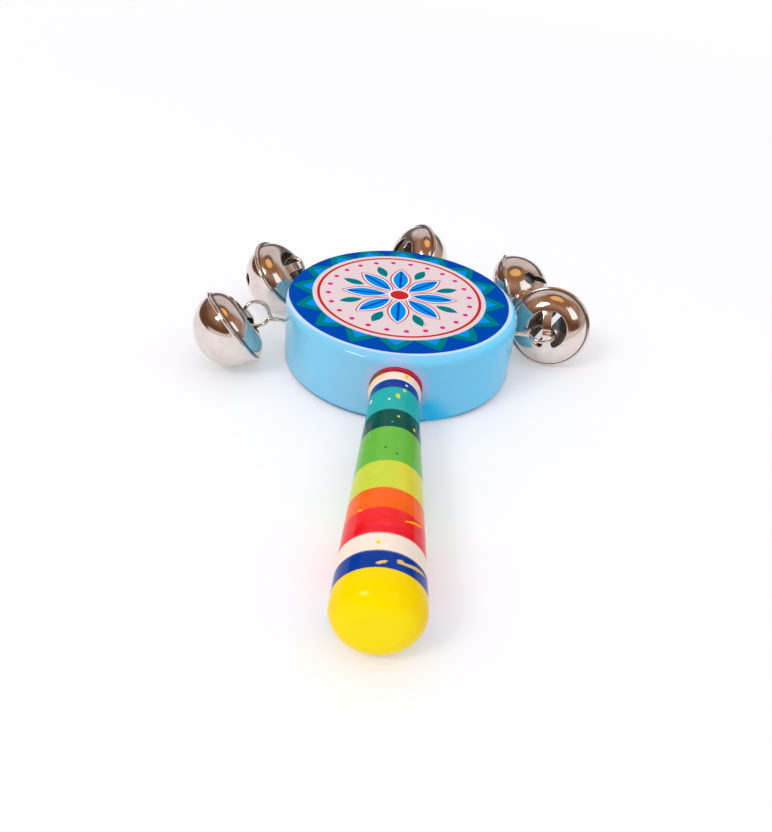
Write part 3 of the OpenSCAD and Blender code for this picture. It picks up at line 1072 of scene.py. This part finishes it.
def crown_sheet():
    """Points and faces of the turned profile and the strap."""
    profile = crown_profile()
    points, faces = lathe(profile, CROWN_STEPS)
    rim = len(points) - CROWN_STEPS
    column_angle = 2 * math.pi / CROWN_STEPS
    rim_z = profile[-1][1]
    columns = range(-FOOT_COLUMNS, FOOT_COLUMNS + 1)
    rows = [[rim + CROWN_STEPS // 4 - j for j in columns]]
    for m in range(1, STRAP_ROWS):
        share = 1 - 2 * m / STRAP_ROWS
        flare = max(0, 1 - HOLE_R * (1 - abs(share)) / STRAP_FLARE) ** 2
        height = rim_z + (STRAP_H - rim_z) * (1 - share * share) ** STRAP_ROUND
        rows.append(range(len(points), len(points) + len(columns)))
        for j in columns:
            wide = HOLE_R * math.sin(j * column_angle)
            narrow = STRAP_W / 2 * j / FOOT_COLUMNS
            rim_curve = 1 - flare * (1 - math.cos(j * column_angle))
            points.append((flare * wide + (1 - flare) * narrow, HOLE_R * share * rim_curve, height))
    rows.append([rim + 3 * CROWN_STEPS // 4 + j for j in columns])
    for near, far in zip(rows, rows[1:]):
        for j in range(2 * FOOT_COLUMNS):
            faces.append((near[j], far[j], far[j + 1], near[j + 1]))
    return points, faces


crown = new_object("crown", new_mesh("crown", *crown_sheet(), sharp=180))
print("The crown's sheet has", len(crown.data.polygons), "faces before it gets its thickness")

# %% [markdown]
# Solidify gives the sheet its thickness on both sides of its middle, and a small Bevel breaks the edges
# that the press left.

# %% Pressed crowns
BROKEN_EDGE = 0.07
# The groove with the darker painted shade: its span inward from the seam's outside and its span of height
GROOVE_ACROSS = (0.68, 1.1)
GROOVE_UP = (0.45, 1.05)

thicken = crown.modifiers.new("sheet", "SOLIDIFY")
thicken.thickness = CROWN_T
thicken.offset = 0
thicken.use_even_offset = True
soften = crown.modifiers.new("edges", "BEVEL")
soften.width = BROKEN_EDGE
soften.segments = 2
soften.limit_method = "ANGLE"
soften.angle_limit = math.radians(50)
crown_mesh = applied(crown)


def crown_shade_and_dullness(point):
    """Painted shade and more roughness under the dome, and darker still in the groove between the dome and
    the rolled seam.
    """
    inward = SEAM_R - point.xy.length
    if GROOVE_ACROSS[0] < inward < GROOVE_ACROSS[1] and GROOVE_UP[0] < point.z < GROOVE_UP[1]:
        return GROOVE_SHADE
    off_centre = Vector((point.xy.length - CROWN_ARC_AT[0], point.z - CROWN_ARC_AT[1]))
    return INSIDE_SHADE if point.z > 0 and off_centre.length < DOME_R else 0.0


mark_shade_and_dull(crown_mesh, crown_shade_and_dullness)
print("A crown has", len(crown_mesh.polygons), "faces")
for i in BELLS:
    finished(
        f"crown_{i + 1}", crown_mesh, bell_frame(i), nickel,
        body=f"bell_{i + 1}", node=f"bell_crown_{i + 1}",
    )

# %% [markdown]
# The deep cup, the bowl, has one slot that ends in two round holes, which lets the sound out. A Boolean
# would cut it, but a mirror finish shows every uneven face. So the bowl is drawn as rays that run on
# the ball from the slot's edge to the seam. Each ray's section goes out over the slot's rounded lip,
# along the outside, round the flange that the crown grips and back along the inside, and the rays side
# by side close the whole shell with even faces.

# %% Rays from the slot to the seam
SLOT_W = 1.7
SLOT_HOLE_R = 2.0
SLOT_LATITUDE = math.radians(38)
HOLE_POINTS = 14
SIDE_POINTS = 14
# The ray from the corner where a round hole meets the slot's side ends at this angle round the seam
SHOULDER_LONGITUDE = math.radians(60)


def slot_quadrant():
    """A quarter of the slot's edge on the unit ball: the edge, the way off it and its ray's longitude."""
    hole_angle = math.asin(SLOT_HOLE_R / BOWL_R)
    middle = Vector((math.cos(SLOT_LATITUDE), 0, -math.sin(SLOT_LATITUDE)))
    upward = Vector((math.sin(SLOT_LATITUDE), 0, math.cos(SLOT_LATITUDE)))
    shoulder = math.pi - math.asin(SLOT_W / 2 / SLOT_HOLE_R)
    quarter = []
    for k in range(HOLE_POINTS + 1):
        share = k / HOLE_POINTS
        way = upward * math.cos(shoulder * share) + Vector((0, math.sin(shoulder * share), 0))
        edge = middle * math.cos(hole_angle) + way * math.sin(hole_angle)
        off = way * math.cos(hole_angle) - middle * math.sin(hole_angle)
        quarter.append((edge, off, SHOULDER_LONGITUDE * share))
    start = math.atan2(edge.x, -edge.z)
    across = SLOT_W / 2 / BOWL_R
    for k in range(1, SIDE_POINTS + 1):
        share = k / SIDE_POINTS
        polar = start * (1 - share)
        edge = Vector((math.sin(polar), 0, -math.cos(polar))) * math.sqrt(1 - across**2)
        edge += Vector((0, across, 0))
        off = (Vector((0, 1, 0)) - edge * across).normalized()
        longitude = SHOULDER_LONGITUDE + (math.pi / 2 - SHOULDER_LONGITUDE) * share
        quarter.append((edge, off, longitude))
    return quarter


def slot_rays():
    """All the rays in order round the slot, from the quarter and its mirror images."""
    quarter = slot_quadrant()
    onward, back = quarter[:-1], quarter[:0:-1]
    rays = []
    for part, flip_x, flip_y in ((onward, 1, 1), (back, -1, 1), (onward, -1, -1), (back, 1, -1)):
        flip = Matrix.Diagonal((flip_x, flip_y, 1))
        for edge, off, longitude in part:
            end = flip @ Vector((math.cos(longitude), math.sin(longitude), 0))
            rays.append((flip @ edge, flip @ off, end))
    return rays


print("The bowl has", len(slot_rays()), "rays")

# %% [markdown]
# A section starts at the slot with a rounded lip. Its rows crowd towards the slot, where the sheet
# bends most, and it ends in a flange that is thinner than the sheet, as pressing leaves it.

# %% Section of the sheet along a ray
SHEET_T = 0.5
INNER_R = BOWL_R - SHEET_T
LIP = 0.11
BALL_ROWS = 20
ROW_CROWDING = 1.4
FLANGE_T = 0.14
FLANGE_R = 12.2
FLANGE_ROUND = 0.05
# How far below the seam the sheet starts to bend into the flange, on its outside and on its inside
OUTER_DROP = 0.42
INNER_DROP = 0.12


def ray_section(edge, off, end):
    """The closed section of the sheet along one ray."""
    def from_edge(aside, radius):
        return (edge + off * (aside / BOWL_R)).normalized() * radius

    def at_seam(radius, height):
        return end * radius + Vector((0, 0, height))

    def along_ball(radius, drop):
        first = from_edge(LIP, 1)
        last = at_seam(math.cos(drop), -math.sin(drop))
        shares = [(k / BALL_ROWS) ** ROW_CROWDING for k in range(1, BALL_ROWS + 1)]
        return [first.slerp(last, share) * radius for share in shares]

    outer_lip = [from_edge(LIP - x, BOWL_R - LIP + y) for x, y in arc((0, 0), LIP, 0, 90, 4)]
    inner_lip = [from_edge(LIP - y, INNER_R + LIP - x) for x, y in arc((0, 0), LIP, 0, 90, 4)]
    rounded = FLANGE_R - FLANGE_ROUND
    flange = bend((BOWL_R - 0.01, -OUTER_DROP), (BOWL_R, -FLANGE_T), (BOWL_R + 0.3, -FLANGE_T), 4)[1:]
    flange += bend((rounded, -FLANGE_T), (FLANGE_R, -FLANGE_T), (FLANGE_R, 0), 3)
    flange += bend((FLANGE_R, 0), (FLANGE_R, FLANGE_T), (rounded, FLANGE_T), 3)[1:]
    flange += bend((INNER_R + 0.25, FLANGE_T), (INNER_R, FLANGE_T), (INNER_R, -INNER_DROP), 4)[:-1]
    seam = [at_seam(radius, height) for radius, height in flange]
    outside = along_ball(BOWL_R, math.asin(OUTER_DROP / BOWL_R))
    inside = along_ball(INNER_R, math.asin(INNER_DROP / INNER_R))
    return outer_lip + outside + seam + inside[::-1] + inner_lip


sections = [ray_section(*ray) for ray in slot_rays()]
print("Each section has", len(sections[0]), "points")

# %% [markdown]
# The sections side by side make a closed shell. Each bell then gets a copy of it, with the slot turned
# its own way.

# %% Pressed bowls
SLOT_TURN = (50, 20, 75, 60, 10)

points = [point for section in sections for point in section]
faces = []
count = len(sections[0])
for near in range(len(sections)):
    far = (near + 1) % len(sections)
    for k in range(count):
        n = (k + 1) % count
        faces.append((near * count + k, near * count + n, far * count + n, far * count + k))
bowl_mesh = new_mesh("bowl", points, faces, sharp=180)
bm = bmesh.new()
bm.from_mesh(bowl_mesh)
bmesh.ops.recalc_face_normals(bm, faces=bm.faces)
print("A bowl has", len(bm.faces), "faces and holds", round(bm.calc_volume(), 1), "mm3 of sheet")
bm.to_mesh(bowl_mesh)
bm.free()
# The inside of each bowl gets the painted shade
mark_shade_and_dull(bowl_mesh, lambda point: INSIDE_SHADE if point.length < BOWL_R - SHEET_T / 2 else 0.0)
for i in BELLS:
    finished(
        f"bowl_{i + 1}", bowl_mesh, bell_frame(i) @ turned(SLOT_TURN[i], "Z"), nickel,
        body=f"bell_{i + 1}", node=f"bell_bowl_{i + 1}",
    )

# %% [markdown]
# The rattle lies on a plain pale table in soft daylight. A catalogue picture keeps its background
# white, so the table mixes plain white with a surface that takes light and shadow, and far off it fades
# to white alone. Only rays that show the background are given the white, through the Light Path node.
# Those that light the wood find paint.

# %% Table
TABLE_SIZE = 6.0
TABLE_DROP = 0.02
TABLE_PAINT = rgb(252, 251, 252)
TABLE_ROUGHNESS = 0.7
TABLE_SHOWN = 0.33
# Where the fade to white has come half-way, and over how far it runs, in metres
FADE = (0.42, 0.6)
SHOWN_WHITE = (1.0, 1.0, 1.0, 1.0)


def shown_to(tree):
    """1 for rays that show the background: those of the camera, of reflections and of glass."""
    rays = tree.nodes.new("ShaderNodeLightPath")
    seen = Wire(rays.outputs["Is Camera Ray"])
    for label in ("Is Glossy Ray", "Is Transmission Ray"):
        seen = seen.math("MAXIMUM", Wire(rays.outputs[label]))
    return seen


table_paint = bpy.data.materials.new("table_paint")
table_paint.use_nodes = True
tree = table_paint.node_tree
shader = tree.nodes["Principled BSDF"]
shader.inputs["Base Color"].default_value = TABLE_PAINT
shader.inputs["Roughness"].default_value = TABLE_ROUGHNESS
seen = shown_to(tree)
place = Wire(tree.nodes.new("ShaderNodeTexCoord").outputs["Object"])
far = place.node("ShaderNodeVectorMath", {"operation": "LENGTH"}, {0: place}, out=1).step(*FADE)
glow = seen.node("ShaderNodeEmission", {}, {"Color": SHOWN_WHITE, "Strength": 1.0})
share = seen * (TABLE_SHOWN + far * (1 - TABLE_SHOWN))
surface = seen.node("ShaderNodeMixShader", {}, {0: share, 1: Wire(shader.outputs[0]), 2: glow})
tree.links.new(surface.socket, tree.nodes["Material Output"].inputs["Surface"])

half = TABLE_SIZE / 2
under = -TABLE_DROP * MM
corners = [(-half, -half, under), (half, -half, under), (half, half, under), (-half, half, under)]
table_mesh = bpy.data.meshes.new("table")
table_mesh.from_pydata(corners, [], [(0, 1, 2, 3)])
table_mesh.materials.append(table_paint)
new_object("table", table_mesh)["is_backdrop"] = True
print("The table is", TABLE_SIZE, "m wide")

# %% [markdown]
# A large lamp in front on the left stands for the daylight of a window. It is far enough off to light
# the table evenly, and large enough to give the shadows a soft edge.

# %% Window lamp
LAMP_AT = Vector((-1.4, -1.35, 1.9))
LAMP_SIZE = 0.8
LAMP_POWER = 21
LAMP_COLOUR = (1.0, 0.985, 0.96)

lamp = bpy.data.objects.new("window_lamp", bpy.data.lights.new("window_lamp", "AREA"))
lamp.data.size = LAMP_SIZE
lamp.data.energy = LAMP_POWER
lamp.data.color = LAMP_COLOUR
lamp.location = LAMP_AT
lamp.rotation_mode = "QUATERNION"
lamp.rotation_quaternion = (-LAMP_AT).to_track_quat("-Z", "Y")
bpy.context.scene.collection.objects.link(lamp)
print("The lamp stands", round(LAMP_AT.length, 2), "m away")

# %% [markdown]
# The light of the world, stronger overhead, fills the shadows. Metal needs something to mirror, so
# reflected rays find a room instead: brown furniture in front with a window in it, a pale wall behind
# with a dark skirting, and a warm lamp overhead. Each is a range of heights, and of directions round
# the upright.

# %% Room that the metal mirrors
PALE_LOW = rgb(224, 214, 208)
PALE_SIDE = rgb(188, 172, 162)
WARM_LAMP = rgb(252, 196, 122)
WINDOW = (1.2, 1.2, 1.2, 1.0)
# Heights from 0, level, to 1, overhead, with the colour there
FURNITURE = (
    (0.0, rgb(226, 216, 210)), (0.02, rgb(112, 74, 56)), (0.3, rgb(104, 68, 50)),
    (0.52, rgb(150, 112, 88)), (0.7, rgb(176, 140, 116)), (0.88, rgb(158, 112, 80)),
)
WALL = (
    (0.0, rgb(120, 110, 110)), (0.26, rgb(112, 101, 100)), (0.4, rgb(224, 216, 217)),
    (0.86, rgb(214, 200, 194)), (0.92, rgb(124, 96, 80)),
)
# Spans round the upright, in radians from the front towards the right, and spans of height. Each pair
# with a FROM or a TO in its name is where a soft edge lies and how wide it is
WINDOW_ROUND = (0.44, 1.14, 0.08)
WINDOW_UP = (0.5, 0.85, 0.04)
PALE_LOW_FROM = (-1.1, 0.3)
PALE_LOW_UP_TO = (0.15, 0.03)
PALE_SIDE_FROM = (1.2, 0.8)
PALE_SIDE_UP_TO = (0.5, 0.3)
WALL_FROM = (2.2, 0.5)
WARM_FROM = (0.97, 0.02)

world = bpy.data.worlds.new("daylight")
world.use_nodes = True
bpy.context.scene.world = world
tree = world.node_tree
dx, dy, dz = Wire(tree.nodes.new("ShaderNodeTexCoord").outputs["Generated"]).split()
side = dx.math("ARCTAN2", 0 - dy)


def between(wire, low, high, width):
    """1 between two places on a wire, with soft edges of one width."""
    return wire.step(low, width) * (1 - wire.step(high, width))


furniture = dz.node("ShaderNodeValToRGB", {"stops": FURNITURE}, {0: dz})
furniture = (side.step(*PALE_LOW_FROM) * (1 - dz.step(*PALE_LOW_UP_TO))).mix(furniture, PALE_LOW)
room = (side.step(*PALE_SIDE_FROM) * (1 - dz.step(*PALE_SIDE_UP_TO))).mix(furniture, PALE_SIDE)
wall = dz.node("ShaderNodeValToRGB", {"stops": WALL}, {0: dz})
room = side.math("ABSOLUTE").step(*WALL_FROM).mix(room, wall)
room = dz.step(*WARM_FROM).mix(room, WARM_LAMP)
room = (between(side, *WINDOW_ROUND) * between(dz, *WINDOW_UP)).mix(room, WINDOW)
print("The room has", len(FURNITURE), "heights of furniture in front and", len(WALL), "of wall behind")

# %% [markdown]
# The world then gives each kind of ray its own answer: plain white to the camera and through glass, the
# room to metal, and to everything else a pale daylight that is stronger overhead.

# %% Daylight
SKY_STRENGTH = 0.36
SKY_OVERHEAD = 0.9
DAYLIGHT = rgb(243, 243, 251)

rays = tree.nodes.new("ShaderNodeLightPath")
is_camera = Wire(rays.outputs["Is Camera Ray"]).math("MAXIMUM", Wire(rays.outputs["Is Transmission Ray"]))
is_glossy = Wire(rays.outputs["Is Glossy Ray"])
colour = is_camera.mix(is_glossy.mix(DAYLIGHT, room), SHOWN_WHITE)
shown = is_glossy.math("MAXIMUM", is_camera)
strength = (SKY_STRENGTH + SKY_OVERHEAD * dz) * (1 - shown) + shown
background = tree.nodes["Background"]
tree.links.new(colour.socket, background.inputs["Color"])
tree.links.new(strength.socket, background.inputs["Strength"])
print("Level with the table the daylight is", SKY_STRENGTH, "and overhead", SKY_STRENGTH + SKY_OVERHEAD)

# %% [markdown]
# Last, the finished rattle is measured. Both boxes, the packed model's and the finished one's, are kept
# together, and the finished size is printed.

# %% Measure and finish
boxes = {"cad": [list(corner) for corner in cad_box], "visual": [list(corner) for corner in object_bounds()]}
sizes = [round(1000 * (high - low), 2) for low, high in zip(*boxes["visual"])]
print("The finished rattle spans", sizes, "mm")
